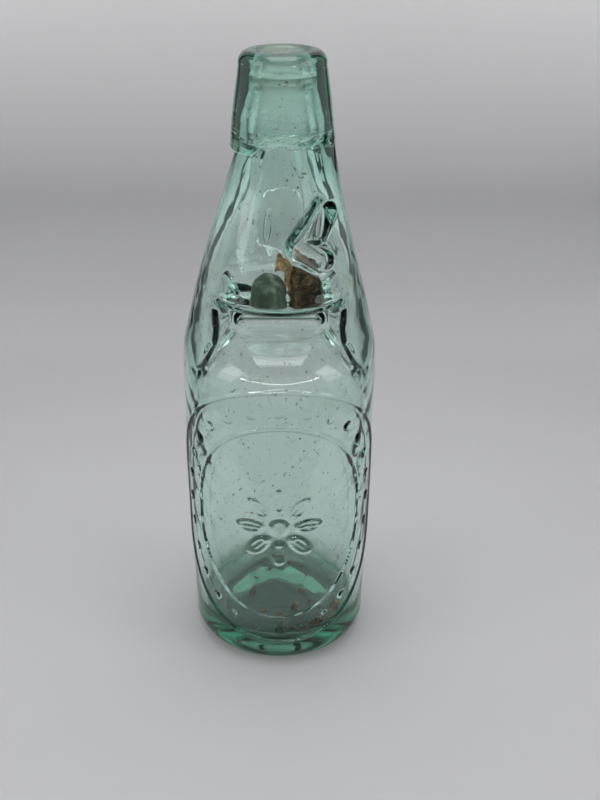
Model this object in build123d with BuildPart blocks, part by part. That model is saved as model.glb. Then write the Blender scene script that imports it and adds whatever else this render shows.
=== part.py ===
"""Marble stopper bottle of blown glass, as it stands on a table.

Millimetres, +Z up. The origin is the centre of the resting ring, on the surface that the bottle
stands on. The pressed face with the raised rings looks along -Y and the lugs are on the +X side.
"""

import math
import os

from build123d import *

# Whole bottle
bottle_height = 224.0
lip_height = 32.0
neck_height = 76.0
body_radius = 35.0
overrun = 10.0
running_gap = 0.3

# Glass walls
body_wall = 4.0
floor_height = 9.0

# Base and heel
heel_radius_share = 0.9543
heel_round = 8.3
waist_radius_share = 0.9857
push_up_height = 4.0
rest_ring_inner_share = 0.6286
rest_ring_outer_share = 0.7286
inner_heel_round = 6.5

# Shoulder and neck, as circles stacked from the shoulder up to the lip
neck_top_radius = 16.9
neck_top_lean = 2.0
neck_bore_radius = 9.5
neck_height_shares = [0.0, 0.10, 0.18, 0.28, 0.45, 0.63, 0.82, 1.0]
neck_radius_shares = [1.0, 0.970, 0.895, 0.795, 0.612, 0.405, 0.180, 0.0]
neck_lean_shares = [0.0, 0.0, 0.0, 0.0, 0.03, 0.25, 0.62, 1.0]
neck_wall_shares = [0.0, 0.0, 0.0, 0.0, 0.0, 0.05, 0.35, 1.0]

# Pinch, pressed in from the front and from the back between the body's dome and the chamber
pinch_rise = 16.5
pinch_slot_width = 7.3
pinch_tip_radius = 2.0
pinch_wall = 3.0
ledge_length_share = 0.686
dome_flat_share = 0.4
dome_round_share = 0.6286
bowl_edge_radius_share = 0.74
bowl_edge_rise = 6.3
bowl_edge_round = 5.0
bowl_edge_inset_share = 0.6
bowl_top_radius_share = 0.9
bowl_top_rise = 17.5
jaw_rises = [-32.0, -3.0, 3.0, 25.0]
jaw_tip_width_shares = [0.857, 0.457, 0.457, 0.571]
jaw_mouth_width_shares = [1.486, 0.914, 0.914, 1.086]

# Lugs, two dents that hold the marble back when the bottle is tipped
lug_finger_radius = 3.4
front_lug_angles = [-47.0, -70.0, -62.0]
front_lug_height_shares = [0.75, 0.618, 0.58]
front_lug_radius_shares = [0.541, 0.52, 0.571]
rear_lug_angles = [37.0, 34.0]
rear_lug_height_shares = [0.618, 0.533]
rear_lug_radius_shares = [0.541, 0.53]

# Raised decoration on the front of the body
relief_height = 0.6
relief_sink = 1.0
relief_start_share = 0.7
relief_centre_share = 0.543
relief_line_width = 1.3
outer_ring_width_share = 1.503
outer_ring_height_share = 0.4534
inner_ring_width_share = 1.029
inner_ring_height_share = 0.3534
bead_radius = 2.1
bead_count = 28
petal_length = 11.0
petal_width = 5.4
petal_count = 8
petal_circle_radius = 11.0
boss_radius = 3.6

# Applied lip
lip_lean = 1.06
lip_base_radius = 17.8
lip_waist_rise = 17.0
lip_waist_radius = 16.05
lip_crown_radius = 14.35
lip_crown_round = 4.0
lip_edge_round = 1.6
mouth_radius = 6.5
mouth_edge_round = 2.0
collar_radius = 12.9
collar_length = 8.0

# Rubber ring and its groove inside the lip
ring_groove_drop = 11.0
ring_groove_depth = 2.1
ring_bore_radius = 5.5
ring_thickness = 3.0
ring_edge_round = 0.7
ring_side_gap = 0.15
ring_land_thickness = 2.0

# Marble
marble_radius = 6.75
marble_rest_offset = -3.7
marble_lead_gap = 0.75

# Dried matter in the chamber
clump_centre_offset = 8.9
clump_length = 13.0
clump_width = 15.0
clump_height = 17.6
clump_height_shares = [0.0, 0.28, 0.62, 0.88, 1.0]
clump_size_shares = [0.72, 0.94, 1.0, 0.80, 0.52]
clump_shift_shares = [0.04, 0.02, 0.0, -0.05, -0.08]
flake_width = 5.0
flake_height = 6.0
flake_thickness = 1.2
flake_outline_shares = [(-0.5, 0.0), (-0.38, 0.62), (-0.12, 1.0), (0.1, 0.7), (0.42, 0.5), (0.5, 0.0)]

# Crumbs on the floor
crumb_wall_gap = 3.3
crumb_angles = [-8.0, -28.0, -50.0, -72.0, 78.0, 153.0, -137.0]
crumb_size_shares = [0.95, 1.1, 1.0, 0.8, 0.75, 0.7, 0.5]
crumb_length = 6.0
crumb_width = 4.2
crumb_thickness = 1.8
crumb_outline_shares = [(-0.5, -0.3), (-0.45, 0.35), (0.05, 0.5), (0.42, 0.3), (0.5, -0.35), (-0.2, -0.5)]
crumb_taper = 18.0

# Sizes that follow from the ones above
neck_top_height = bottle_height - lip_height
shoulder_height = neck_top_height - neck_height
heel_radius = body_radius * heel_radius_share
waist_radius = body_radius * waist_radius_share
rest_ring_inner_radius = body_radius * rest_ring_inner_share
rest_ring_outer_radius = body_radius * rest_ring_outer_share
pinch_height = shoulder_height + pinch_rise
ledge_length = body_radius * ledge_length_share
dome_flat_radius = body_radius * dome_flat_share
dome_round = body_radius * dome_round_share
bowl_edge_radius = body_radius * bowl_edge_radius_share
bowl_top_radius = body_radius * bowl_top_radius_share
pinch_tip_centre = pinch_slot_width / 2 + pinch_wall + pinch_tip_radius
ledge_round = pinch_tip_radius + pinch_wall
marble_reach = marble_radius + ledge_round + running_gap
marble_rest_height = pinch_height + math.sqrt(marble_reach**2 - pinch_tip_centre**2)
ring_groove_height = bottle_height - ring_groove_drop
ring_seat_reach = math.sqrt((marble_radius + running_gap) ** 2 - ring_bore_radius**2)
marble_seal_height = ring_groove_height - ring_seat_reach
marble_rest = Vector(marble_rest_offset, 0, marble_rest_height)
marble_seal = Vector(lip_lean, 0, marble_seal_height)
lead_radius = marble_radius + marble_lead_gap
ring_front_angle = math.radians(30)
relief_start_radius = body_radius * relief_start_share
relief_centre_height = shoulder_height * relief_centre_share
outer_ring_half_width = body_radius * outer_ring_width_share
outer_ring_half_height = shoulder_height * outer_ring_height_share
inner_ring_half_width = body_radius * inner_ring_width_share
inner_ring_half_height = shoulder_height * inner_ring_height_share
front_lug = (front_lug_angles, front_lug_height_shares, front_lug_radius_shares)
rear_lug = (rear_lug_angles, rear_lug_height_shares, rear_lug_radius_shares)
collar_height = neck_top_height + collar_length
lip_waist_height = neck_top_height + lip_waist_rise
crumb_circle_radius = heel_radius - body_wall - inner_heel_round - crumb_wall_gap
ring_land_height = ring_groove_height - ring_land_thickness
ring_groove_radius = mouth_radius + ring_groove_depth
ring_groove_top = ring_groove_height + ring_thickness + ring_side_gap
lip_axis = Axis((lip_lean, 0, 0), (0, 0, 1))
lip_plane = Plane(origin=(lip_lean, 0, 0), x_dir=(1, 0, 0), z_dir=(0, -1, 0))


def neck_circles(wall):
    """The circles of the neck from the shoulder up, drawn in by the wall of the glass."""
    circles = []
    rows = zip(neck_height_shares, neck_radius_shares, neck_lean_shares, neck_wall_shares)
    for height_share, radius_share, lean_share, wall_share in rows:
        height = shoulder_height + neck_height * height_share
        radius = neck_top_radius + (body_radius - neck_top_radius) * radius_share
        lean = neck_top_lean * lean_share
        if wall:
            inside = radius - wall
            radius = inside + (neck_bore_radius - inside) * wall_share
            lean = lean + (lip_lean - lean) * wall_share
        with BuildSketch(Plane.XY.offset(height), mode=Mode.PRIVATE) as circle:
            with Locations((lean, 0)):
                Circle(radius)
        circles.append(circle.sketch)
    return circles


def pinch_limits(growth):
    """How wide one jaw is: narrowest between the ledges and wider above and below them."""
    tip = -pinch_tip_centre
    outside = -body_radius - overrun
    with BuildPart(mode=Mode.PRIVATE) as limits:
        for rise, tip_share, mouth_share in zip(jaw_rises, jaw_tip_width_shares, jaw_mouth_width_shares):
            narrow = body_radius * tip_share + growth
            wide = body_radius * mouth_share + growth
            with BuildSketch(Plane.XY.offset(pinch_height + rise)):
                with BuildLine():
                    Polyline((-narrow, tip), (narrow, tip), (wide, outside), (-wide, outside), close=True)
                make_face()
        loft(ruled=True)
    return limits.part


def pinch_tool(growth):
    """What one jaw presses out of the front; the growth leaves the wall of the glass."""
    lower = pinch_height - pinch_tip_radius - growth
    upper = pinch_height + pinch_tip_radius + growth
    dome_foot = lower + growth - dome_round
    inside = pinch_tip_centre - pinch_tip_radius
    outside = body_radius + overrun
    bowl_edge = (bowl_edge_radius - bowl_edge_inset_share * growth, upper + bowl_edge_rise)
    with BuildPart(mode=Mode.PRIVATE) as jaw:
        with BuildSketch(Plane.XZ) as section:
            with BuildLine():
                dome_start = (dome_flat_radius, lower)
                dome_end = (dome_flat_radius + dome_round - growth, dome_foot)
                RadiusArc(dome_start, dome_end, dome_round - growth)
                bowl_top = pinch_height + bowl_top_rise
                Polyline(
                    dome_end,
                    (outside, dome_foot),
                    (outside, bowl_top),
                    (bowl_top_radius - growth, bowl_top),
                    bowl_edge,
                    (inside, upper),
                    (inside, lower),
                    dome_start,
                )
            make_face()
            fillet(section.vertices().sort_by_distance(bowl_edge)[0], bowl_edge_round)
        revolve(axis=Axis.Z)
        add(pinch_limits(growth), mode=Mode.INTERSECT)
        bar_radius = pinch_tip_radius + growth
        with BuildSketch(Plane.YZ.offset(-ledge_length / 2)):
            with Locations((-pinch_tip_centre, pinch_height)):
                Circle(bar_radius)
        extrude(amount=ledge_length)
        for end in (-ledge_length / 2, ledge_length / 2):
            with Locations((end, -pinch_tip_centre, pinch_height)):
                Sphere(bar_radius)
    return jaw.part


def lug_tool(lug, radius):
    """What a bent, round-nosed tool presses in for a lug, open towards the outside."""
    points = []
    for angle, height_share, radius_share in zip(*lug):
        reach = body_radius * radius_share
        height = shoulder_height + neck_height * height_share
        turn = math.radians(angle)
        points.append(Vector(reach * math.cos(turn), reach * math.sin(turn), height))
    with BuildPart(mode=Mode.PRIVATE) as tool:
        with Locations(*points):
            Sphere(radius)
        for start, end in zip(points, points[1:]):
            run = end - start
            middle = (start + end) / 2
            outward = Vector(middle.X, middle.Y, 0)
            across = run.cross(outward)
            with BuildSketch(Plane(origin=start, z_dir=run)):
                Circle(radius)
            extrude(amount=run.length)
            with BuildSketch(Plane(origin=middle, x_dir=run, z_dir=across.cross(run))):
                SlotCenterToCenter(run.length, 2 * radius)
            extrude(amount=body_radius)
    return tool.part


def facing(angle):
    """A plane inside the body that looks out at an angle from the front."""
    outward = (math.sin(angle), -math.cos(angle), 0)
    across = (math.cos(angle), math.sin(angle), 0)
    return Plane(origin=(0, 0, 0), x_dir=across, z_dir=outward).offset(relief_start_radius)


def ring_piece(half_width, half_height, start, end, angle):
    """A stretch of a raised ring that lies round the body, seen along one direction."""
    edges = []
    for side in (0, relief_line_width):
        wide, tall = half_width - side, half_height - side
        points = []
        for step in range(7):
            turn = start + (end - start) * step / 6
            around = wide / body_radius * math.sin(turn) - angle
            points.append((body_radius * math.sin(around), relief_centre_height + tall * math.cos(turn)))
        edges.append(points)
    with BuildPart(mode=Mode.PRIVATE) as piece:
        with BuildSketch(facing(angle)):
            with BuildLine():
                Spline(edges[0])
                Spline(edges[1])
                Line(edges[0][0], edges[1][0])
                Line(edges[0][-1], edges[1][-1])
            make_face()
        extrude(amount=body_radius)
    return piece.part


def wall_arc(growth, bottom):
    """The side of the round body from a height near the base up to the shoulder."""
    low = (heel_radius + growth, bottom)
    middle = (waist_radius + growth, relief_centre_height)
    return Spline(low, middle, (body_radius + growth, shoulder_height))


# Cavity of the body, chamber and neck, left by the walls of the glass
with BuildPart() as cavity:
    with BuildSketch(Plane.XZ) as cavity_profile:
        with BuildLine():
            side = wall_arc(-body_wall, floor_height)
            Polyline(side @ 1, (0, shoulder_height), (0, floor_height), side @ 0)
        make_face()
        floor_corner = cavity_profile.vertices().group_by(Axis.Y)[0].sort_by(Axis.X)[-1]
        fillet(floor_corner, inner_heel_round)
    revolve(axis=Axis.Z)
    loft(neck_circles(body_wall))
    with BuildSketch(Plane.XY.offset(neck_top_height)):
        with Locations((lip_lean, 0)):
            Circle(neck_bore_radius)
    extrude(amount=collar_height - neck_top_height + overrun)
    inner_jaw = pinch_tool(pinch_wall)
    add(inner_jaw, mode=Mode.SUBTRACT)
    mirror(inner_jaw, about=Plane.XZ, mode=Mode.SUBTRACT)
    bump_radius = lug_finger_radius + body_wall
    for lug in (front_lug, rear_lug):
        add(lug_tool(lug, bump_radius), mode=Mode.SUBTRACT)

# Raised rings, beads and rosette on the front, kept to a thin skin round the body
with BuildPart() as skin:
    with BuildSketch(Plane.XZ):
        with BuildLine():
            side = wall_arc(relief_height, heel_round)
            root = heel_radius - relief_sink
            Polyline(side @ 1, (root, shoulder_height), (root, heel_round), side @ 0)
        make_face()
    revolve(axis=Axis.Z)

with BuildPart() as relief:
    for half_width, half_height in (
        (outer_ring_half_width, outer_ring_half_height),
        (inner_ring_half_width, inner_ring_half_height),
    ):
        widest = half_width / body_radius
        turn = math.asin(ring_front_angle / widest)
        side_angle = (ring_front_angle + widest) / 2
        for start, end, angle in (
            (-turn, turn, 0),
            (turn, math.pi - turn, side_angle),
            (math.pi - turn, math.pi + turn, 0),
            (math.pi + turn, 2 * math.pi - turn, -side_angle),
        ):
            add(ring_piece(half_width, half_height, start, end, angle))
    bead_half_width = (outer_ring_half_width - relief_line_width + inner_ring_half_width) / 2
    bead_half_height = (outer_ring_half_height - relief_line_width + inner_ring_half_height) / 2
    for bead in range(bead_count):
        turn = 2 * math.pi * bead / bead_count
        around = bead_half_width / body_radius * math.sin(turn)
        with BuildSketch(facing(around)):
            with Locations((0, relief_centre_height + bead_half_height * math.cos(turn))):
                Circle(bead_radius)
        extrude(amount=body_radius)
    with BuildSketch(facing(0)):
        with Locations((0, relief_centre_height)):
            Circle(boss_radius)
            with PolarLocations(petal_circle_radius, petal_count):
                Ellipse(petal_length / 2, petal_width / 2)
    extrude(amount=body_radius)
    add(skin.part, mode=Mode.INTERSECT)

# Glass body: base with its push-up, round body, neck, pinch and lugs, blown as one piece
with BuildPart() as glass_body:
    with BuildSketch(Plane.XZ):
        with BuildLine():
            dome_mid = (rest_ring_inner_radius / 2, push_up_height * 3 / 4)
            ThreePointArc((0, push_up_height), dome_mid, (rest_ring_inner_radius, 0))
            Line((rest_ring_inner_radius, 0), (rest_ring_outer_radius, 0))
            side = wall_arc(0, heel_round)
            TangentArc((rest_ring_outer_radius, 0), side @ 0, tangent=(1, 0))
            Polyline(side @ 1, (0, shoulder_height), (0, push_up_height))
        make_face()
    revolve(axis=Axis.Z)
    loft(neck_circles(0))
    with BuildSketch(Plane.XY.offset(neck_top_height)):
        with Locations((lip_lean, 0)):
            Circle(collar_radius)
    extrude(amount=collar_height - neck_top_height)
    outer_jaw = pinch_tool(0)
    add(outer_jaw, mode=Mode.SUBTRACT)
    mirror(outer_jaw, about=Plane.XZ, mode=Mode.SUBTRACT)
    for lug in (front_lug, rear_lug):
        add(lug_tool(lug, lug_finger_radius), mode=Mode.SUBTRACT)
    add(relief.part)
    add(cavity.part, mode=Mode.SUBTRACT)

# Applied lip: a gather of glass round the neck's collar, tooled with a groove for the ring
with BuildPart() as applied_lip:
    with BuildSketch(lip_plane) as lip_profile:
        with BuildLine():
            base = (lip_base_radius, neck_top_height)
            crown = (lip_crown_radius, bottle_height)
            ThreePointArc(base, (lip_waist_radius, lip_waist_height), crown)
            Polyline(
                crown,
                (mouth_radius, bottle_height),
                (mouth_radius, ring_groove_top),
                (ring_groove_radius, ring_groove_top),
                (ring_groove_radius, ring_groove_height),
                (lead_radius, ring_groove_height),
                (lead_radius, ring_land_height),
                (neck_bore_radius, collar_height),
                (collar_radius, collar_height),
                (collar_radius, neck_top_height),
                base,
            )
        make_face()
        mouth_edge, crown_edge = lip_profile.vertices().group_by(Axis.Y)[-1].sort_by(Axis.X)
        fillet(mouth_edge, mouth_edge_round)
        fillet(crown_edge, lip_crown_round)
        fillet(lip_profile.vertices().group_by(Axis.Y)[0].sort_by(Axis.X)[-1], lip_edge_round)
    revolve(axis=lip_axis)

# Rubber ring: it lies on the land at the foot of the groove
with BuildPart() as rubber_ring:
    ring_outer_radius = ring_groove_radius - ring_side_gap
    with BuildSketch(lip_plane) as ring_profile:
        with Locations((ring_bore_radius, ring_groove_height)):
            Rectangle(ring_outer_radius - ring_bore_radius, ring_thickness, align=(Align.MIN, Align.MIN))
        fillet(ring_profile.vertices().group_by(Axis.X)[0], ring_edge_round)
    revolve(axis=lip_axis)

# Marble: it lies across the two ledges of the pinch
with BuildPart() as marble:
    with Locations(marble_rest):
        Sphere(marble_radius)

# Way of the marble from its ledges up to the ring, which the dried matter leaves free
with BuildPart() as marble_way:
    way = marble_seal - marble_rest
    with Locations(marble_rest, marble_seal):
        Sphere(marble_radius + running_gap)
    with BuildSketch(Plane(origin=marble_rest, z_dir=way)):
        Circle(marble_radius + running_gap)
    extrude(amount=way.length)

# Dried clump: it lies wedged between the ledges beside the marble
clump_base_height = pinch_height
clump_top_height = clump_base_height + clump_height
with BuildPart() as dried_clump:
    clump_rows = zip(clump_height_shares, clump_size_shares, clump_shift_shares)
    for height_share, size_share, shift_share in clump_rows:
        with BuildSketch(Plane.XY.offset(clump_base_height + clump_height * height_share)):
            with Locations((clump_centre_offset + clump_length * shift_share, 0)):
                Ellipse(clump_length * size_share / 2, clump_width * size_share / 2)
    loft()
    ledge = pinch_tool(pinch_wall + running_gap)
    add(ledge, mode=Mode.SUBTRACT)
    mirror(ledge, about=Plane.XZ, mode=Mode.SUBTRACT)
    add(marble_way.part, mode=Mode.SUBTRACT)

# Papery flake: it stands on the flat top of the clump
with BuildPart() as papery_flake:
    flake_foot = clump_centre_offset + clump_length * clump_shift_shares[-1]
    with BuildSketch(Plane.XZ.offset(-flake_thickness / 2)):
        with BuildLine():
            outline = [
                (flake_foot + x * flake_width, clump_top_height + y * flake_height)
                for x, y in flake_outline_shares
            ]
            Polyline(outline, close=True)
        make_face()
    extrude(amount=flake_thickness)
    add(marble_way.part, mode=Mode.SUBTRACT)

# Crumbs that lie flat on the floor of the bottle
with BuildPart() as base_crumbs:
    for angle, size_share in zip(crumb_angles, crumb_size_shares):
        turned = Plane.XY.offset(floor_height).rotated((0, 0, angle))
        with BuildSketch(turned):
            with BuildLine():
                wide, long = crumb_width * size_share, crumb_length * size_share
                outline = [(crumb_circle_radius + x * wide, y * long) for y, x in crumb_outline_shares]
                Polyline(outline, close=True)
            make_face()
        extrude(amount=crumb_thickness * size_share, taper=crumb_taper)

pieces = {
    "glass_body": glass_body,
    "applied_lip": applied_lip,
    "rubber_ring": rubber_ring,
    "marble": marble,
    "dried_clump": dried_clump,
    "papery_flake": papery_flake,
    "base_crumbs": base_crumbs,
}
os.makedirs("parts", exist_ok=True)
for name, piece in pieces.items():
    piece.part.label = name
    export_step(piece.part, f"parts/{name}.step")
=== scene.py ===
"""Pale green glass marble stopper bottle on a pale floor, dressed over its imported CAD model."""
import math

import bpy
import numpy as np
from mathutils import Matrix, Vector, noise


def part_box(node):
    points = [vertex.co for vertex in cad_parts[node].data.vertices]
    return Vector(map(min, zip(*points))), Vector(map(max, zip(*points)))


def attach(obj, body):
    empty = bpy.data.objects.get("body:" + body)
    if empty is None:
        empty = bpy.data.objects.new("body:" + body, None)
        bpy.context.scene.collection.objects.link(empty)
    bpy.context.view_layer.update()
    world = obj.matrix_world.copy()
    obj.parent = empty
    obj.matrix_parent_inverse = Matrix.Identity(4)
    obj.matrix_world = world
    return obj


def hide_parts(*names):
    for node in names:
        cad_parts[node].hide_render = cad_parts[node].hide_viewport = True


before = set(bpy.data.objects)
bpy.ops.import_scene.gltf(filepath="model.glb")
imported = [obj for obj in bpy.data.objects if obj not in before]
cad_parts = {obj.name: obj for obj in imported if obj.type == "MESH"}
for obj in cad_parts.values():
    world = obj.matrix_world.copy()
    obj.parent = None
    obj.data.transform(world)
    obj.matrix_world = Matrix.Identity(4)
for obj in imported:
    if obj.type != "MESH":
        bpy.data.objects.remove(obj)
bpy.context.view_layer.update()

MM = 0.001
NOISE_SEED = 1  # without a seed, noise_vector takes its offsets from the clock
noise.seed_set(NOISE_SEED)

# Sizes of the part in millimetres. They follow its CAD source, apart from the walls of the
# pinch and the lugs, the grooves of the lugs and the outer ring, which are fitted to the photo.
# WALL and INSIDE hold (height, radius), LEAN and INSIDE_LEAN (height, how far the middle is off).
WALL = [(8.3, 33.4), (35, 34.05), (63, 34.5), (90, 34.85), (116, 35.0), (123.6, 34.46),
        (129.7, 33.1), (137.3, 31.3), (150.2, 27.98), (163.9, 24.23), (178.3, 20.16), (192, 16.9)]
INSIDE = [(8.3, 29.3), (35, 30.0), (63, 30.5), (90, 30.85), (116, 31.0), (123.6, 30.46),
          (129.7, 29.1), (137.3, 27.3), (150.2, 23.98), (163.9, 19.69), (178.3, 13.83), (192, 9.5)]
LEAN = [(0, 0), (137.3, 0), (150.2, 0.06), (163.9, 0.5), (178.3, 1.2), (192, 2.0)]
INSIDE_LEAN = [(0, 0), (137.3, 0), (150.2, 0.06), (163.9, 0.5), (178.3, 1.15), (192, 1.06)]
NECK_TOP = 192.0
OVERLAP = 0.1  # neck and lip each reach this far past NECK_TOP, so that they fuse
LIP_LEAN = 1.06
PINCH = 132.5  # height of the two ledges
PINCH_WALL = 2.4
TIP = 8.65  # how far the tips of the ledges' edges are from the middle
# points along each lug: degrees, height, reach
FRONT_LUG = [(-40, 174.5, 18.6), (-69, 163.5, 18.2), (-55, 159.6, 19.6)]
REAR_LUG = [(37, 163, 18.9), (34, 156.5, 18.6)]
LUG_FINGER = 2.4
LUG_WALL = 2.0
RELIEF_MIDDLE = 63.0
RINGS = [(1.0, 52.6, 53.6), (0.0, 36.0, 41.0)]  # how far it is raised, half width, half height
RING_LINE = 1.3
BEADS = 28
PETALS = 8
RELIEF = 0.58
SKIN_STEPS = 48  # coarse steps along each ray
SKIN_HALVINGS = 12
PAST_WALL = 1.02  # a ray ends this share of the radius out


# Shapes ------------------------------------------------------------------------------------------

def smooth_max(a, b, width):
    share = np.clip(0.5 + 0.5 * (a - b) / width, 0, 1)
    return b + (a - b) * share + width * share * (1 - share)


def smooth_min(a, b, width):
    return -smooth_max(-a, -b, width)


def ease(low, high, x):
    share = np.clip((x - low) / (high - low), 0, 1)
    return share * share * (3 - 2 * share)


def curve(points, x):
    """A smooth line through points of rising x."""
    xs, ys = np.array(points, float).T
    slopes = np.gradient(ys, xs)
    i = np.clip(np.searchsorted(xs, x) - 1, 0, len(xs) - 2)
    step = xs[i + 1] - xs[i]
    t = np.clip((x - xs[i]) / step, 0, 1)
    return ((2 * t**3 - 3 * t**2 + 1) * ys[i] + (t**3 - 2 * t**2 + t) * step * slopes[i]
            + (3 * t**2 - 2 * t**3) * ys[i + 1] + (t**3 - t**2) * step * slopes[i + 1])


def wave(theta, z, seed, rows):
    """Slow waves over the glass: rows of (strength, waves round, waves per 100 mm of height)."""
    total = 0
    for n, (strength, around, along) in enumerate(rows):
        turn = 2.4 * seed + 1.7 * n
        rise = np.sin(0.0628 * along * z + 2.1 * turn)
        total = total + strength * np.sin(around * theta + turn) * rise
    return total


def jaw(x, y, z, growth):
    """Distance to what the two jaws press out of the neck, below zero inside it."""
    across = np.abs(y)
    reach = np.hypot(x, y)
    low = 22 - growth - np.hypot(np.maximum(reach - 14, 0), np.maximum(z - PINCH + 24, 0))
    edge_r, edge_z = 25.9 - 0.6 * growth, PINCH + 2 + growth + 6.3
    flat = (z - edge_z - 6.3 / (edge_r - 6.65) * (reach - edge_r)) * 0.945
    side_r, side_z = 5.6 - 0.4 * growth, 9.2 - growth
    side_length = math.hypot(side_r, side_z)
    steep = ((z - edge_z) * side_r - (reach - edge_r) * side_z) / side_length
    section = smooth_max(low, smooth_min(flat, steep, 1.4 if growth else 2.2), 1.2)
    rise = z - PINCH
    tip_half = np.interp(rise, [-32, -3, 3, 25], [30, 16, 16, 20])
    mouth_half = np.interp(rise, [-32, -3, 3, 25], [52, 32, 32, 38])
    half = tip_half + (mouth_half - tip_half) * (across - TIP) / 36.35 + growth
    pressed = smooth_max(section, (np.abs(x) - half) * 0.88, 4.0)
    pressed = np.maximum(pressed, TIP - across)
    past_bar = np.maximum(np.abs(x) - 12, 0)
    bar = np.hypot(np.hypot(across - TIP, rise), past_bar) - 2 - growth
    return smooth_min(pressed, bar, 1.5)


def lug(x, y, z, chain, growth):
    """Distance to what a round-nosed tool presses in along a chain of points."""
    turn, reach = np.arctan2(y, x), np.hypot(x, y)
    best = np.full_like(reach, 99.0)
    for (a0, z0, r0), (a1, z1, r1) in zip(chain, chain[1:]):
        middle = (r0 + r1) / 2
        u = turn * middle
        u0, u1 = math.radians(a0) * middle, math.radians(a1) * middle
        du, dz = u1 - u0, z1 - z0
        share = np.clip(((u - u0) * du + (z - z0) * dz) / (du * du + dz * dz), 0, 1)
        off = np.hypot(u - u0 - share * du, z - z0 - share * dz)
        centre = r0 + (r1 - r0) * share
        inner = np.hypot(off, centre - reach) - LUG_FINGER - growth
        outer = off - LUG_FINGER - growth - (0.16 if not growth else 0) * (reach - centre)
        best = np.minimum(best, np.where(reach < centre, inner, outer))
    return best


def outside(x, y, z, radius, lean):
    solid = np.hypot(x - lean, y) - radius
    solid = smooth_max(solid, -jaw(x, y, z, 0.0), 2.6)
    for chain in (FRONT_LUG, REAR_LUG):
        solid = smooth_max(solid, -lug(x, y, z, chain, 0.0), 0.9)
    return solid


def inside(x, y, z, radius, lean):
    room = np.hypot(x - lean, y) - radius
    room = smooth_max(room, -jaw(x, y, z, PINCH_WALL), 1.0)
    for chain in (FRONT_LUG, REAR_LUG):
        room = smooth_max(room, -lug(x, y, z, chain, LUG_WALL), 1.8)
    return room


def skin(shape, heights, turns, radius_of, lean_of):
    """Points where rays from the middle leave a shape, one row for each height."""
    z = heights[:, None] + 0 * turns[None, :]
    theta = turns[None, :] + 0 * z
    radius, lean = radius_of(theta, z), lean_of(z)
    squeeze = 0.86 * ease(104, 111, z) * (1 - ease(147, 156, z))
    start_x = lean + squeeze * radius * np.cos(theta)
    run_x, run_y = (1 - squeeze) * radius * np.cos(theta), radius * np.sin(theta)
    low, high = np.zeros_like(z), np.ones_like(z) * PAST_WALL
    found = np.zeros(z.shape, bool)
    for step in range(1, SKIN_STEPS + 1):
        share = PAST_WALL * step / SKIN_STEPS
        out = shape(start_x + share * run_x, share * run_y, z, radius, lean) > 0
        first = out & ~found
        high[first] = share
        low[first] = share - PAST_WALL / SKIN_STEPS
        found |= out
    for _ in range(SKIN_HALVINGS):
        middle = (low + high) / 2
        out = shape(start_x + middle * run_x, middle * run_y, z, radius, lean) > 0
        high = np.where(out, middle, high)
        low = np.where(out, low, middle)
    share = (low + high) / 2
    return np.stack([start_x + share * run_x, share * run_y, z], axis=-1)


def relief(around, z):
    """Share of the full height of the raised rings, beads and rosette on the front."""
    up = z - RELIEF_MIDDLE
    total = np.zeros_like(up)
    for lift, half_width, half_height in RINGS:
        a, b = half_width - RING_LINE / 2, half_height - RING_LINE / 2
        level = np.hypot(around / a, (up - lift) / b)
        off = (level - 1) * level / np.maximum(np.hypot(around / a**2, (up - lift) / b**2), 1e-6)
        total = np.maximum(total, 1 - ease(RING_LINE * 0.25, RING_LINE * 0.62, np.abs(off)))
    bead_a = (RINGS[0][1] - RING_LINE + RINGS[1][1]) / 2
    bead_b = (RINGS[0][2] - RING_LINE + RINGS[1][2]) / 2
    for bead in range(BEADS):
        turn = 2 * math.pi * bead / BEADS
        off = np.hypot(around - bead_a * math.sin(turn), up - bead_b * math.cos(turn))
        total = np.maximum(total, 1 - ease(1.35, 2.15, off))
    total = np.maximum(total, 1 - ease(2.9, 3.7, np.hypot(around, up)))
    for petal in range(PETALS):
        turn = math.pi * petal / 4
        along = around * math.cos(turn) + up * math.sin(turn) - 11
        off = -around * math.sin(turn) + up * math.cos(turn)
        level = np.hypot(along / 5.5, off / 2.7)
        vein = 0.75 * (1 - ease(0.25, 0.55, np.abs(off))) * (np.abs(along) < 4.2)
        leaf = (1 - ease(0.8, 1.05, level)) * (0.25 + 0.75 * ease(0.5, 0.7, level))
        total = np.maximum(total, leaf + vein * (level < 0.75))
    return total


# Meshes ------------------------------------------------------------------------------------------

def new_piece(name, points, faces, body, material, smooth=True):
    mesh = bpy.data.meshes.new(name)
    mesh.from_pydata([tuple(p) for p in np.asarray(points) * MM], [], faces)
    mesh.polygons.foreach_set("use_smooth", [smooth] * len(mesh.polygons))
    mesh.validate()
    piece = bpy.data.objects.new(name, mesh)
    bpy.context.scene.collection.objects.link(piece)
    piece.data.materials.append(material)
    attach(piece, body)
    return piece


def rows_to_mesh(rows, closed_rows=False):
    """Points and faces of a surface through rows of points; a row of one point is a pole."""
    points = np.concatenate(rows)
    starts = np.cumsum([0] + [len(row) for row in rows])
    faces = []
    count = len(rows)
    for i in range(count if closed_rows else count - 1):
        k = (i + 1) % count
        n, m = len(rows[i]), len(rows[k])
        a, b = starts[i], starts[k]
        size = max(n, m)
        for j in range(size):
            j2 = (j + 1) % size
            if n == 1:
                faces.append((a, b + j2, b + j))
            elif m == 1:
                faces.append((a + j, a + j2, b))
            else:
                faces.append((a + j, a + j2, b + j2, b + j))
    return points, faces


def steps(*parts):
    """Heights or distances in runs of (start, end, spacing), without repeats."""
    values = []
    for start, end, spacing in parts:
        count = max(1, round(abs(end - start) / spacing))
        values += [start + (end - start) * n / count for n in range(count)]
    return np.array(values + [parts[-1][1]])


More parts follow.
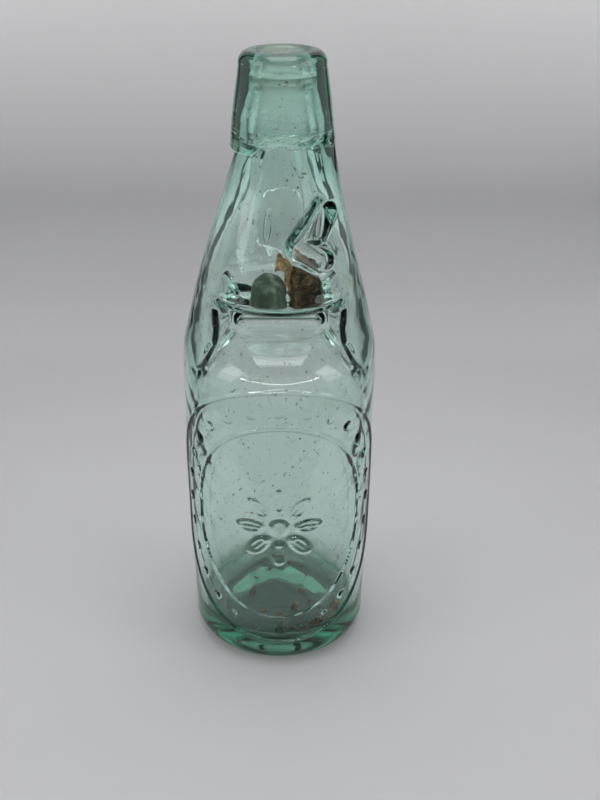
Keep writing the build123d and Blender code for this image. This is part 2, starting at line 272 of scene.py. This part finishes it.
def ball(centre, size, turn=0.0, rings=10, count=16, inward=False):
    """Points and faces of an ellipsoid that is turned about the Y axis."""
    rows = []
    for i in range(rings + 1):
        polar = math.pi * i / rings
        n = 1 if i in (0, rings) else count
        row = []
        for j in range(n):
            around = 2 * math.pi * j / n
            p = Vector((size[0] * math.sin(polar) * math.cos(around),
                        size[1] * math.sin(polar) * math.sin(around), -size[2] * math.cos(polar)))
            x = p.x * math.cos(turn) + p.z * math.sin(turn)
            z = -p.x * math.sin(turn) + p.z * math.cos(turn)
            row.append((centre[0] + x, centre[1] + p.y, centre[2] + z))
        rows.append(np.array(row))
    points, faces = rows_to_mesh(rows)
    if inward:
        faces = [face[::-1] for face in faces]
    return points, faces


def oval_row(turns, half_x, half_y, z, middle=0.0):
    x, y = middle + half_x * np.cos(turns), half_y * np.sin(turns)
    return np.stack([x, y, z + 0 * turns], axis=-1)


def capped(rows):
    """Rows of a tube, closed by a pole in the middle of each end."""
    return [rows[0].mean(axis=0)[None]] + rows + [rows[-1].mean(axis=0)[None]]


def joined(points, faces, more_points, more_faces):
    """Two meshes as one."""
    moved = [tuple(k + len(points) for k in face) for face in more_faces]
    return np.concatenate([points, more_points]), faces + moved


# Materials ---------------------------------------------------------------------------------------

def material(name):
    made = bpy.data.materials.new(name)
    made.use_nodes = True
    tree = made.node_tree
    return made, tree, tree.nodes["Principled BSDF"]


def node(tree, kind, inputs=None, **settings):
    made = tree.nodes.new(kind)
    for key, value in settings.items():
        setattr(made, key, value)
    for key, value in (inputs or {}).items():
        made.inputs[key].default_value = value
    return made


def noise_node(tree, scale, detail=4.0, roughness=0.55, distortion=0.0):
    place = node(tree, "ShaderNodeTexCoord")
    made = node(tree, "ShaderNodeTexNoise",
                {"Scale": scale, "Detail": detail, "Roughness": roughness,
                 "Distortion": distortion})
    tree.links.new(place.outputs["Object"], made.inputs["Vector"])
    return made


def ramp(tree, source, stops):
    made = node(tree, "ShaderNodeValToRGB")
    elements = made.color_ramp.elements
    while len(elements) < len(stops):
        elements.new(0.5)
    for element, (place, colour) in zip(elements, stops):
        element.position = place
        element.color = (*colour, 1)
    tree.links.new(source, made.inputs["Fac"])
    return made


def bump(tree, shader, source, strength, distance):
    made = node(tree, "ShaderNodeBump", {"Strength": strength, "Distance": distance})
    tree.links.new(source, made.inputs["Height"])
    tree.links.new(made.outputs["Normal"], shader.inputs["Normal"])


def own_axis(tree, axis):
    """A coordinate in the piece's own space."""
    place = node(tree, "ShaderNodeTexCoord")
    split = node(tree, "ShaderNodeSeparateXYZ")
    tree.links.new(place.outputs["Object"], split.inputs["Vector"])
    return split.outputs[axis]


def mottled(name, grain, stops, roughness, relief_size, transmission=0.0, pits=None):
    """A material with colour stops over one noise and a bump of that noise or of a finer one."""
    made, tree, shader = material(name)
    cloud = noise_node(tree, *grain)
    colour = ramp(tree, cloud.outputs["Fac"], stops)
    tree.links.new(colour.outputs["Color"], shader.inputs["Base Color"])
    shader.inputs["Roughness"].default_value = roughness
    shader.inputs["Transmission Weight"].default_value = transmission
    raised = noise_node(tree, *pits) if pits else cloud
    bump(tree, shader, raised.outputs["Fac"], *relief_size)
    return made, colour


def glass_material(name, ripple, stained, bore=0.0):
    """Pale aqua glass: tinted by its depth, with painted shade darkening its foot, and with specks,
    stains, scuffs and wavy skin.
    """
    made, tree, shader = material(name)
    shader.inputs["Transmission Weight"].default_value = 1.0
    shader.inputs["IOR"].default_value = 1.5
    stain = noise_node(tree, 38, 3, 0.6, 0.4)
    clear, tinged = (0.97, 0.985, 0.975), (0.86, 0.83, 0.66)
    tint = ramp(tree, stain.outputs["Fac"], [(0.66 - stained, clear), (0.78 - stained, tinged)])
    dirt = noise_node(tree, 620, 2, 0.5)
    speck = ramp(tree, dirt.outputs["Fac"], [(0.7, (1, 1, 1)), (0.72, (0.2, 0.16, 0.1))])
    # Painted shade: the glass is darkened below 12.5 mm, fading out by 22 mm, for the shadowed
    # floor under the foot
    foot = ramp(tree, own_axis(tree, "Z"), [(0.0125, (0.3, 0.4, 0.35)), (0.022, (1, 1, 1))])
    colour = foot.outputs["Color"]
    for layer in (tint, speck):
        mixed = node(tree, "ShaderNodeMixRGB", {"Fac": 1.0}, blend_type="MULTIPLY")
        tree.links.new(colour, mixed.inputs["Color1"])
        tree.links.new(layer.outputs["Color"], mixed.inputs["Color2"])
        colour = mixed.outputs["Color"]
    tree.links.new(colour, shader.inputs["Base Color"])
    scuffs = noise_node(tree, 300, 5, 0.7)
    dull = ramp(tree, scuffs.outputs["Fac"], [(0.45, (0.01,) * 3), (0.7, (0.14,) * 3)])
    place = node(tree, "ShaderNodeTexCoord")
    off_axis = node(tree, "ShaderNodeVectorMath", operation="SUBTRACT")
    off_axis.inputs[1].default_value = (LIP_LEAN * MM, 0, 0)
    flat = node(tree, "ShaderNodeVectorMath", operation="MULTIPLY")
    flat.inputs[1].default_value = (1, 1, 0)
    reach = node(tree, "ShaderNodeVectorMath", operation="LENGTH")
    tree.links.new(place.outputs["Object"], off_axis.inputs[0])
    tree.links.new(off_axis.outputs["Vector"], flat.inputs[0])
    tree.links.new(flat.outputs["Vector"], reach.inputs[0])
    worn = ramp(tree, reach.outputs["Value"], [(0.0098, (bore,) * 3), (0.0106, (0, 0, 0))])
    rougher = node(tree, "ShaderNodeMath", operation="ADD")
    tree.links.new(dull.outputs["Color"], rougher.inputs[0])
    tree.links.new(worn.outputs["Color"], rougher.inputs[1])
    tree.links.new(rougher.outputs["Value"], shader.inputs["Roughness"])
    wobble = noise_node(tree, ripple, 3, 0.5, 0.3)
    bump(tree, shader, wobble.outputs["Fac"], 0.4, 0.0008)
    depth = node(tree, "ShaderNodeVolumeAbsorption",
                 {"Color": (0.02, 0.87, 0.64, 1), "Density": 30.0})
    tree.links.new(depth.outputs["Volume"], tree.nodes["Material Output"].inputs["Volume"])
    return made


body_glass = glass_material("body_glass", 45, 0.0)
lip_glass = glass_material("lip_glass", 80, 0.1, 0.3)


# Bottle body -------------------------------------------------------------------------------------

def broken(theta):
    """Share of the break along the lower front edge of the lip."""
    return ease(-0.62, -0.42, np.cos(theta)) * ease(-0.05, 0.3, -np.sin(theta))


def lift(theta, z):
    """How far the joint of neck and lip rises where the lip's edge is broken away."""
    near = np.where(z < NECK_TOP, ease(181, NECK_TOP, z), 1 - ease(NECK_TOP, 202, z))
    return (3.7 + 0.5 * np.sin(7 * theta) + 0.3 * np.sin(19 * theta)) * broken(theta) * near


def wall_radius(theta, z):
    front = (theta + math.pi / 2 + math.pi) % (2 * math.pi) - math.pi
    ripple = wave(theta, z, 1, [(0.05, 3, 1.1), (0.04, 5, 2.3), (0.025, 9, 4.1), (0.015, 23, 9.3)])
    strength = 1 + 0.6 * (1 - ease(0.7, 1.2, np.abs(front)))
    marks = relief(front * 35.0, z) * (np.abs(front) < 2.0) * strength
    return curve(WALL, z) - 0.16 + ripple + RELIEF * marks


def room_radius(theta, z):
    ripple = wave(theta, z, 2, [(0.5, 2, 0.9), (0.22, 5, 1.1), (0.1, 9, 1.9), (0.06, 17, 7.3),
                                (0.02, 31, 15.1)])
    calm = 0.35 + 0.65 * ease(12, 40, z) * (1 - ease(95, 120, z))
    return curve(INSIDE, z) - 0.25 + calm * ripple


def circle_row(radius, z, lean=0.0):
    return oval_row(turns, radius, radius, z, lean)


even = np.linspace(0, 2 * math.pi, 420, endpoint=False)
turns = even + 0.42 * np.cos(even)

body_rows = [np.array([(0.0, 0.0, 4.0)])]
for r in steps((2, 22, 1.0)):
    body_rows.append(circle_row(r, 4.0 * (1 - (r / 22) ** 2)))
for r in steps((22.6, 25.5, 0.7)):
    body_rows.append(circle_row(r, 0.0))
for turn in np.linspace(0.1, 1.0, 12):
    angle = turn * math.pi / 2
    body_rows.append(circle_row(25.5 + 7.8 * math.sin(angle), 8.3 * (1 - math.cos(angle))))
outer_heights = steps((8.8, 20, 0.4), (20, 106, 0.3), (106, 116, 0.5), (116, 124, 0.5),
                      (124, 128, 0.35), (128, 130.9, 0.13), (130.9, 134.0, 0.25),
                      (134.0, 141, 0.18), (141, 150, 0.3), (150, 178, 0.4),
                      (178, NECK_TOP + OVERLAP, 1.0))
body_rows += list(skin(outside, outer_heights, turns, wall_radius, lambda z: curve(LEAN, z)))
for share in (0.25, 0.5, 0.75):
    radius = 16.8 + (9.6 - 16.8) * share
    body_rows.append(circle_row(radius, NECK_TOP + OVERLAP, 2.0 + (LIP_LEAN - 2.0) * share))
inner_heights = steps((NECK_TOP + OVERLAP, 178, 1.0), (178, 150, 0.6), (150, 145, 0.4),
                      (145, 137.0, 0.18), (137.0, 128.0, 0.35), (128.0, 124, 0.15),
                      (124, 108, 0.5), (108, 15.5, 1.2))
body_rows += list(skin(inside, inner_heights, turns, room_radius, lambda z: curve(INSIDE_LEAN, z)))
foot = body_rows[-1]
for turn in np.linspace(0.1, 1.0, 9):
    angle = turn * math.pi / 2
    inward = 1 - 6.5 * (1 - math.cos(angle)) / 29.3
    row = foot * (inward, inward, 0)
    row[:, 2] = 15.5 - 6.2 * math.sin(angle)
    body_rows.append(row)
corner = body_rows[-1]
for share in (0.85, 0.7, 0.55, 0.4, 0.25, 0.12):
    row = corner * (share, share, 1)
    row[:, 2] += 0.35 * (1 - share)
    body_rows.append(row)
body_rows.append(np.array([(0.0, 0.0, 9.75)]))
points, faces = rows_to_mesh(body_rows)
points[:, 2] += lift(np.arctan2(points[:, 1], points[:, 0] - LIP_LEAN), points[:, 2])

# Seeds in the wall: degrees from the front, height, half width, half height, tilt in degrees
for across, z, half_width, half_height, tilt in [
        (-13, 171, 1.3, 6.2, 4), (-27, 172, 0.3, 1.2, 0), (12, 182, 0.25, 1.9, 20),
        (-48, 95, 0.35, 0.5, 0), (8, 88, 0.5, 0.4, 0), (30, 104, 0.3, 0.9, 15),
        (-22, 50, 0.3, 0.6, 0), (41, 44, 0.4, 0.4, 0)]:
    turn = math.radians(across)
    reach = float(curve(WALL, z)) - 1.6
    points_in, faces_in = ball((0, 0, 0), (half_width, 0.3, half_height), math.radians(tilt),
                               inward=True)
    x, y = points_in[:, 0], points_in[:, 1] - reach
    centre_x = float(curve(LEAN, z))
    moved = np.stack([centre_x + x * math.cos(turn) - y * math.sin(turn),
                      x * math.sin(turn) + y * math.cos(turn), points_in[:, 2] + z], axis=-1)
    points, faces = joined(points, faces, moved, faces_in)

# A fine crease that runs down the front of the neck
crease_rows = []
for z in steps((191, 168, 0.5)):
    x = float(curve([(166, 7.6), (172, 7.9), (179, 7.7), (187, 5.8), (192, 3.2)], z))
    thick = 0.05 + 0.16 * math.sin(math.pi * (191.5 - z) / 24)
    reach = float(curve(WALL, z)) - 0.9
    y = -math.sqrt(reach**2 - (x - float(curve(LEAN, z))) ** 2)
    crease_rows.append(np.array([(x + thick * math.cos(a), y - 0.6 * thick * math.sin(a), z)
                                 for a in np.linspace(0, 2 * math.pi, 6, endpoint=False)]))
points, faces = joined(points, faces, *rows_to_mesh(capped(crease_rows)))
glass_body = new_piece("bottle_glass", points, faces, "bottle", body_glass)
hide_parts("glass_body")


# Applied lip -------------------------------------------------------------------------------------

def arc(centre, radius, start, end, count):
    angles = np.radians(np.linspace(start, end, count))
    return [(centre[0] + radius * math.cos(a), centre[1] + radius * math.sin(a)) for a in angles]


LIP_OUTSIDE = [(192, 17.8), (201, 16.98), (209, 16.05), (216, 15.05), (224, 13.9)]
# (radius, height) round the section of the lip, from its underside outwards
lip_line = [(r, NECK_TOP - OVERLAP) for r in (9.5, 11.5, 13.5, 15.2)]
lip_line += arc((16.1, NECK_TOP + 1.5), 1.6, -90, 0, 7)
for z in steps((194, 201, 0.35), (201, 219.5, 0.6)):
    lip_line.append((curve(LIP_OUTSIDE, z), z))
lip_line += arc((10.7, 220.0), 3.95, 5, 90, 9)
lip_line += arc((8.5, 222.0), 1.95, 90, 180, 7)
lip_line += [(6.55, 219.5), (6.6, 218.0), (6.8, 216.6), (7.3, 216.0), (7.4, 215.5), (7.4, 213.6),
             (7.35, 213.0), (7.2, 212.4), (7.3, 211.2)]
for z in steps((210, 193, 0.8)):
    lip_line.append((curve([(192, 9.5), (200, 9.3), (206, 8.3), (211, 7.35)], z), z))

lip_turns = np.linspace(0, 2 * math.pi, 240, endpoint=False)
lip_rows = []
for r, z in lip_line:
    row = []
    for theta in lip_turns:
        tooled = 0.05 * math.sin(5 * theta + 0.3 * z) + 0.035 * math.sin(2.9 * z + 2 * theta)
        radius = r + (tooled if r > 10 and z > 193 else 0.6 * tooled)
        height = z + float(lift(theta, z))
        if r > 14 and z < 199:
            chip = noise.noise(Vector((7 * math.cos(theta), 7 * math.sin(theta), 0.5 * z)))
            chip += 0.6 * noise.noise(Vector((23 * math.cos(theta), 23 * math.sin(theta), 1.3 * z)))
            depth = 1 - float(ease(194.5, 198.5, z))
            radius -= float(broken(theta)) * depth * (0.75 + 0.75 * chip)
        radius = min(radius, 17.75)
        row.append((LIP_LEAN + radius * math.cos(theta), radius * math.sin(theta), height))
    lip_rows.append(np.array(row))
points, faces = rows_to_mesh(lip_rows, closed_rows=True)
lip = new_piece("lip_glass_ring", points, faces, "bottle", lip_glass)
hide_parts("applied_lip")


# Rubber ring -------------------------------------------------------------------------------------

rubber, _ = mottled("perished_rubber", (340, 5, 0.65),
                    [(0.36, (0.35, 0.22, 0.1)), (0.44, (0.93, 0.95, 0.92))],
                    0.12, (0.4, 0.0004), transmission=1.0)
ring_line = [(6.5, 213.5), (7.45, 213.5), (7.5, 213.8), (7.5, 215.3), (7.45, 215.6),
             (6.5, 215.6), (6.3, 215.2), (6.3, 213.9)]
ring_rows = []
for r, z in ring_line:
    worn = 0.1 * np.sin(7 * lip_turns + z) + 0.06 * np.sin(17 * lip_turns)
    radius = r + (worn if r < 6.6 else 0 * worn)
    ring_rows.append(oval_row(lip_turns, radius, radius, z, LIP_LEAN))
points, faces = rows_to_mesh(ring_rows, closed_rows=True)
ring = new_piece("perished_ring", points, faces, "bottle", rubber)
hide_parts("rubber_ring")


# Marble ------------------------------------------------------------------------------------------

MARBLE_RADIUS = 6.74
frosted, _ = mottled("frosted_marble", (280, 4, 0.6),
                     [(0.4, (0.12, 0.16, 0.11)), (0.54, (0.36, 0.42, 0.33)),
                      (0.64, (0.8, 0.86, 0.74))],
                     0.38, (0.4, 0.0003), transmission=0.65, pits=(650, 5, 0.7))
marble_low, marble_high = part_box("marble")
centre = [1000 * (a + b) / 2 for a, b in zip(marble_low, marble_high)]
points, faces = ball(centre, (MARBLE_RADIUS,) * 3, rings=40, count=64)
marble = new_piece("marble_ball", points, faces, "stopper", frosted)
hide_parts("marble")


# Dried matter ------------------------------------------------------------------------------------

def rough(points, strength, scale, seed):
    moved = []
    for p in points:
        at = Vector(p) * scale + Vector((seed, seed, seed))
        shift = noise.noise_vector(at) + 0.5 * noise.noise_vector(at * 2.3)
        moved.append(np.array(p) + strength * np.array(shift))
    return np.array(moved)


dark, colour = mottled("dried_matter", (420, 6, 0.7, 0.6),
                       [(0.36, (0.02, 0.011, 0.006)), (0.48, (0.13, 0.07, 0.035)),
                        (0.6, (0.36, 0.22, 0.12)), (0.72, (0.55, 0.38, 0.24))],
                       0.85, (0.8, 0.0008))
tree = dark.node_tree
# Lighter on the left (-X) side of the lump and darker on its right, laid over the mottling
left_pale_right_dark = ramp(tree, own_axis(tree, "X"), [(0.0055, (0.85, 0.8, 0.72)), (0.0085, (0.16, 0.12, 0.1))])
layers = node(tree, "ShaderNodeMixRGB", {"Fac": 0.55}, blend_type="OVERLAY")
tree.links.new(colour.outputs["Color"], layers.inputs["Color1"])
tree.links.new(left_pale_right_dark.outputs["Color"], layers.inputs["Color2"])
tree.links.new(layers.outputs["Color"], tree.nodes["Principled BSDF"].inputs["Base Color"])
clump_rows = [np.array([(8.9, 0.0, 134.6)])]
clump_turns = np.linspace(0, 2 * math.pi, 40, endpoint=False)
for z, half_x, half_y, middle in (
        (135.0, 3.0, 1.6, 8.9), (137.4, 4.6, 2.6, 9.2), (139.5, 5.3, 4.0, 9.2),
        (141.8, 5.6, 5.4, 9.2), (144.5, 5.9, 6.8, 9.1), (147.5, 5.2, 6.5, 8.9),
        (149.3, 4.0, 5.4, 8.4), (150.2, 2.4, 3.6, 8.0)):
    clump_rows.append(oval_row(clump_turns, half_x, half_y, z, middle))
clump_rows.append(np.array([(7.9, 0.0, 150.4)]))
points, faces = rows_to_mesh(clump_rows)
points = rough(points, 0.8, 0.45, 3.0)
clump = new_piece("dried_lump", points, faces, "bottle", dark)
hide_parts("dried_clump")

papery, _ = mottled("papery_flake", (380, 5, 0.6, 1.0),
                    [(0.34, (0.3, 0.13, 0.05)), (0.5, (0.74, 0.42, 0.2)),
                     (0.64, (0.95, 0.68, 0.42))],
                    0.8, (0.6, 0.0004))
LEAF_THICKNESS = 0.4
leaf_rows = []
for share in np.linspace(0, 1, 26):
    turn = math.radians(-48 + 122 * share)
    low_z = 145.5 + 1.2 * math.sin(9 * share) - 5.5 * math.exp(-((share - 0.25) / 0.16) ** 2)
    high_z = 155.0 + 1.3 * math.sin(7 * share + 0.6) + 0.5 * math.sin(23 * share) - 3.0 * share
    row = []
    for side, order in ((0.0, 1), (LEAF_THICKNESS, -1)):
        for z in np.linspace(low_z, high_z, 9)[::order]:
            reach = 7.35 + side + 0.35 * (1 + math.sin(5 * turn + 0.9 * z))
            axis_x = 1000 * (marble_low[0] + marble_high[0]) / 2 + 0.07 * (z - 140.9)
            row.append((axis_x + reach * math.cos(turn), reach * math.sin(turn), z))
    leaf_rows.append(np.array(row))
points, faces = rows_to_mesh(capped(leaf_rows))
flake = new_piece("papery_leaf", points, faces, "bottle", papery)
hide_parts("papery_flake")


# Crumbs ------------------------------------------------------------------------------------------

crumb, _ = mottled("crumbs", (190, 4, 0.6),
                   [(0.38, (0.03, 0.02, 0.012)), (0.5, (0.2, 0.09, 0.035)),
                    (0.62, (0.42, 0.27, 0.14))],
                   0.85, (0.7, 0.0005))
CRUMBS = 64
IN_CORNER = 50  # the first crumbs lie along the corner of the floor, the others on the floor
points, faces = np.zeros((0, 3)), []
for number in range(CRUMBS):
    spread = noise.noise(Vector((0.7 * number, 3.1, 0.4)))
    turn = math.radians((-88 + 1.5 * number) if number < IN_CORNER else 60 + 33 * number)
    reach = 23.6 + 2.2 * spread if number < IN_CORNER else 10 + 15 * abs(spread)
    size = 0.6 + 1.6 * abs(noise.noise(Vector((1.3 * number, 0.2, 8.0))))
    height = 9.9 + size * 0.5 + max(0, reach - 23) * 0.5
    at = (reach * math.cos(turn), reach * math.sin(turn), height)
    chip, sides = ball(at, (1.5 * size, size, 0.7 * size), turn=number, rings=5, count=8)
    chip = rough(chip, 0.35, 0.9, 0.1 * number)
    points, faces = joined(points, faces, chip, sides)
crumbs = new_piece("floor_crumbs", points, faces, "bottle", crumb, smooth=False)
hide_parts("base_crumbs")


# Camera, floor and lights ------------------------------------------------------------------------

# The camera is fitted to the photo's outline of the bottle
LENS = 50.5
SHIFT = 0.0258
CAMERA_PLACE = (0, -0.3742, 0.2846)
CAMERA_PITCH = 26.58  # degrees down

scene = bpy.context.scene
camera_data = bpy.data.cameras.new("camera")
camera_data.lens = LENS
camera_data.shift_x = SHIFT
camera_data.clip_start = 0.01
camera = bpy.data.objects.new("camera", camera_data)
camera.location = CAMERA_PLACE
camera.rotation_euler = (math.radians(90 - CAMERA_PITCH), 0, 0)
scene.collection.objects.link(camera)
scene.camera = camera


def area_lamp(name, place, target, size, power):
    data = bpy.data.lights.new(name, "AREA")
    data.shape = "RECTANGLE"
    data.size, data.size_y = size
    data.energy = power
    lamp = bpy.data.objects.new(name, data)
    lamp.location = place
    lamp.rotation_euler = (Vector(target) - Vector(place)).to_track_quat("-Z", "Y").to_euler()
    scene.collection.objects.link(lamp)


area_lamp("top_lamp", (0, 0.05, 1.3), (0, 0, 0), (0.9, 0.9), 7.3)
for name, x in (("left_lamp", -1.0), ("right_lamp", 1.0)):
    area_lamp(name, (x, -0.4, 0.7), (0, 0, 0.1), (0.5, 0.8), 3)

world = bpy.data.worlds.new("studio")
world.use_nodes = True
scene.world = world
world.node_tree.nodes["Background"].inputs["Color"].default_value = (0.045, 0.047, 0.048, 1)


def stage_material(name, stops, glow):
    """A matte card whose tone is painted light, lighter higher up, which glows and shows its front
    only.
    """
    made, tree, shader = material(name)
    tone = ramp(tree, own_axis(tree, "Z"), stops)
    tree.links.new(tone.outputs["Color"], shader.inputs["Base Color"])
    tree.links.new(tone.outputs["Color"], shader.inputs["Emission Color"])
    shader.inputs["Roughness"].default_value = 0.7
    shader.inputs["Emission Strength"].default_value = glow
    side_seen = node(tree, "ShaderNodeNewGeometry")
    clear = node(tree, "ShaderNodeBsdfTransparent")
    one_sided = node(tree, "ShaderNodeMixShader")
    tree.links.new(side_seen.outputs["Backfacing"], one_sided.inputs["Fac"])
    tree.links.new(shader.outputs["BSDF"], one_sided.inputs[1])
    tree.links.new(clear.outputs["BSDF"], one_sided.inputs[2])
    tree.links.new(one_sided.outputs["Shader"], tree.nodes["Material Output"].inputs["Surface"])
    return made


def stage_piece(name, points, faces, made):
    mesh = bpy.data.meshes.new(name)
    mesh.from_pydata([tuple(p) for p in points], [], faces)
    mesh.polygons.foreach_set("use_smooth", [True] * len(mesh.polygons))
    piece = bpy.data.objects.new(name, mesh)
    piece.data.materials.append(made)
    scene.collection.objects.link(piece)


# Sizes of the studio in metres
HALF_WIDTH = 0.22
BEND_START, BEND = 0.24, 0.08  # where the floor bends up into the backdrop, and its radius
BACKDROP = 0.32
SIDE, SIDE_LOW, SIDE_HIGH = 0.34, 0.08, 0.6
RING_RADIUS, RING_TUBE, RING_HEIGHT, RING_MIDDLE = 0.56, 0.01, 0.52, -0.3
RING_GLOW = 30.0

across = np.linspace(-HALF_WIDTH, HALF_WIDTH, 9)
profile = [(-0.13, 0.0), (0.1, 0.0), (BEND_START, 0.0)]
profile += [(BEND_START + BEND * math.sin(a), BEND - BEND * math.cos(a))
            for a in np.linspace(0.15, math.pi / 2, 9)]
profile += [(BACKDROP, 0.3), (BACKDROP, 0.7)]
floor_points = [(x, y, z) for y, z in profile for x in across]
n = len(across)
floor_faces = [(i * n + j, i * n + j + 1, (i + 1) * n + j + 1, (i + 1) * n + j)
               for i in range(len(profile) - 1) for j in range(n - 1)]
# Painted light: the side cards are darker low down and lighter higher up
side = stage_material("side_card", [(0.06, (0.4, 0.4, 0.41)), (0.25, (0.6, 0.6, 0.61))], 0.55)
for x in (-SIDE, SIDE):
    corners = [(x, 0.0, SIDE_LOW), (x, BACKDROP, SIDE_LOW),
               (x, BACKDROP, SIDE_HIGH), (x, 0.0, SIDE_HIGH)]
    stage_piece("side_card", corners, [(0, 1, 2, 3) if x < 0 else (3, 2, 1, 0)], side)
# Painted light on the floor and backdrop: slight painted shade where the floor bends up, and
# lighter higher up the backdrop
card = stage_material("studio_card", [(0.0, (0.5, 0.5, 0.51)), (0.03, (0.48, 0.48, 0.49)),
                                      (0.08, (0.52, 0.52, 0.53)), (0.2, (0.88, 0.87, 0.88))], 0.08)
stage_piece("studio_floor", floor_points, floor_faces, card)
glow, tree, shader = material("ring_lamp_glow")
shader.inputs["Base Color"].default_value = (0, 0, 0, 1)
shader.inputs["Emission Color"].default_value = (1, 1, 1, 1)
shader.inputs["Emission Strength"].default_value = RING_GLOW
lamp_rows = []
tube_turns = np.linspace(0, 2 * math.pi, 8, endpoint=False)
for a in np.linspace(1.08 * math.pi, 1.92 * math.pi, 60):
    out = RING_RADIUS + RING_TUBE * np.cos(tube_turns)
    up = RING_HEIGHT + RING_TUBE * np.sin(tube_turns)
    lamp_rows.append(np.stack([out * math.cos(a), RING_MIDDLE + out * math.sin(a), up], axis=-1))
points, faces = rows_to_mesh(lamp_rows)
stage_piece("ring_lamp", points, faces, glow)

scene.view_settings.view_transform = "Standard"
BOUNCES = 24  # light crosses many layers of glass
scene.cycles.max_bounces = BOUNCES
scene.cycles.transmission_bounces = BOUNCES
scene.cycles.transparent_max_bounces = BOUNCES
